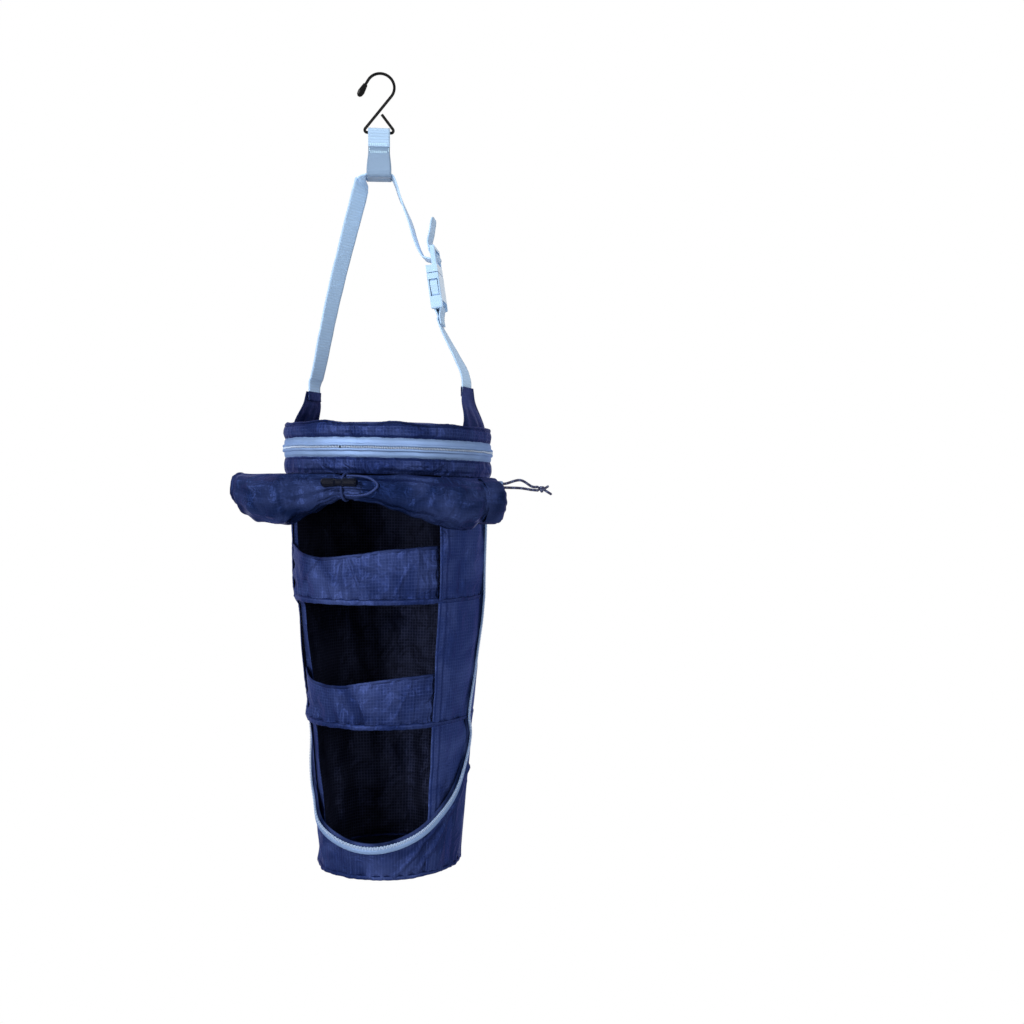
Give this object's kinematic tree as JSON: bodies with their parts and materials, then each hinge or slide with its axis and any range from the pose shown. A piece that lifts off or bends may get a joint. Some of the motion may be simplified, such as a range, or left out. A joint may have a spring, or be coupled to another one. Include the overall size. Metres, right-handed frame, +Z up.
{
  "type": "collapsible storage shelf",
  "caption": "Hanging collapsible storage shelf: a hook and webbing bail hold a round zipped case, and below it a tapering fabric column with open shelves and a rolled-up front door.",
  "frame": {"origin": "inner crown of the S-hook, the point that rests on whatever the shelf hangs from", "axes": "+Z up along the hanging shelf, -Y to the front, where the door opens, +X to the buckle's side"},
  "size_m": [0.2516, 0.2357, 0.7626],
  "materials": {
    "hook_wire": "black coated steel wire, satin",
    "black_vinyl": "soft black vinyl, satin",
    "blue_webbing": "pale blue woven webbing with cross ribs",
    "slate_webbing": "slate blue woven webbing",
    "buckle_plastic": "pale blue moulded acetal",
    "navy_nylon": "navy coated nylon, satin, puckered along its seams",
    "dark_lining": "dark navy ripstop with a fine grid",
    "zip_tape": "light blue woven zip tape",
    "zip_coil": "light blue nylon coil",
    "slider_metal": "blue painted die-cast zinc",
    "spring_wire": "spring wire hoop inside a hem",
    "navy_cord": "navy braided cord with light flecks"
  },
  "bodies": {
    "hook": {"s_hook": "hook_wire", "hook_tip_cap": "black_vinyl"},
    "strap": {"hanger_tab": "blue_webbing", "long_strap": "blue_webbing", "short_strap": "blue_webbing", "buckle_male": "buckle_plastic", "buckle_female": "buckle_plastic"},
    "prong_front": {"buckle_prong_front": "buckle_plastic"},
    "prong_back": {"buckle_prong_back": "buckle_plastic"},
    "case": {"anchor_left": "navy_nylon", "anchor_right": "navy_nylon", "top_cover": "navy_nylon", "upper_band": "navy_nylon", "lower_band": "navy_nylon", "zip_tape_upper": "zip_tape", "zip_tape_lower": "zip_tape", "zip_coil": "zip_coil", "case_floor": "dark_lining", "rim_hoop": "spring_wire", "floor_hoop": "spring_wire", "back_wall_1": "dark_lining", "side_panel_left_1": "navy_nylon", "side_panel_right_1": "navy_nylon", "door_zip_tape": "zip_tape", "door_roll": "navy_nylon", "roll_cuff": "navy_nylon", "roll_tie": "navy_cord", "tie_bight": "navy_cord", "door_zip_slider": "slider_metal", "pull_cord_upper": "navy_cord", "pull_cord_lower": "navy_cord", "pull_cord_knot": "navy_cord"},
    "top_slider": {"top_zip_slider": "slider_metal"},
    "top_pull": {"top_zip_pull": "slider_metal"},
    "toggle": {"toggle_bar": "black_vinyl"},
    "shelf_1": {"shelf_1_floor": "dark_lining", "shelf_1_hem": "navy_nylon", "fascia_1": "navy_nylon", "back_wall_2": "dark_lining", "side_panel_left_2": "navy_nylon", "side_panel_right_2": "navy_nylon"},
    "shelf_2": {"shelf_2_floor": "dark_lining", "shelf_2_hem": "navy_nylon", "fascia_2": "navy_nylon", "back_wall_3": "dark_lining", "side_panel_left_3": "navy_nylon", "side_panel_right_3": "navy_nylon"},
    "base": {"base_floor": "dark_lining", "base_hem": "navy_nylon", "front_wall": "navy_nylon"},
    "carry": {"carry_loop": "slate_webbing"}
  },
  "joints": [
    {"name": "tab_swing", "type": "hinge", "parent": "hook", "child": "strap", "pos_m": [0, 0, -0.054], "axis": [0.9063, 0.4226, 0], "range_deg": [-80, 80]},
    {"name": "bail_fold", "type": "hinge", "parent": "strap", "child": "case", "pos_m": [0.0085, 0, -0.298], "axis": [1, 0, 0], "range_deg": [-90, 90]},
    {"name": "prong_front_squeeze", "type": "hinge", "parent": "strap", "child": "prong_front", "pos_m": [0.05697, -0.00939, -0.18971], "axis": [0.9674, 0.2079, 0.1446], "range_deg": [0, 9], "stiffness_Nm_per_rad": 0.5},
    {"name": "prong_back_squeeze", "type": "hinge", "parent": "strap", "child": "prong_back", "pos_m": [0.05303, 0.00939, -0.19029], "axis": [-0.9674, -0.2079, -0.1446], "range_deg": [0, 9], "stiffness_Nm_per_rad": 0.5},
    {"name": "shelf_collapse", "type": "slide", "parent": "case", "child": "shelf_1", "axis": [0, 0, 1], "range_m": [0, 0.1047], "deforming": ["back_wall_1", "side_panel_left_1", "side_panel_right_1", "door_zip_tape", "fascia_1"]},
    {"name": "shelf_2_lift", "type": "slide", "parent": "shelf_1", "child": "shelf_2", "axis": [0, 0, 1], "range_m": [0, 0.102], "deforming": ["back_wall_2", "side_panel_left_2", "side_panel_right_2", "fascia_2"]},
    {"name": "base_lift", "type": "slide", "parent": "shelf_2", "child": "base", "axis": [0, 0, 1], "range_m": [0, 0.127], "deforming": ["back_wall_3", "side_panel_left_3", "side_panel_right_3", "front_wall"]},
    {"name": "top_zip_run", "type": "hinge", "parent": "case", "child": "top_slider", "pos_m": [0.0085, 0, -0.351], "axis": [0, 0, 1], "range_deg": [0, 290]},
    {"name": "top_zip_pull_flip", "type": "hinge", "parent": "top_slider", "child": "top_pull", "pos_m": [0.02252, 0.09972, -0.351], "axis": [0.9903, -0.1392, 0], "range_deg": [0, 150]},
    {"name": "toggle_turn", "type": "hinge", "parent": "case", "child": "toggle", "pos_m": [0.01849, -0.1184, -0.38067], "axis": [0.08, -0.9477, 0.309], "range_deg": [0, 90]},
    {"name": "carry_loop_flop", "type": "hinge", "parent": "base", "child": "carry", "pos_m": [0.0085, 0.0685, -0.7252], "axis": [1, 0, 0], "range_deg": [0, 80]}
  ],
  "couplings": [
    {"joint": "prong_back_squeeze", "follows": "prong_front_squeeze", "ratio": 1},
    {"joint": "shelf_2_lift", "follows": "shelf_collapse", "ratio": 0.9742},
    {"joint": "base_lift", "follows": "shelf_collapse", "ratio": 1.2129}
  ]
}
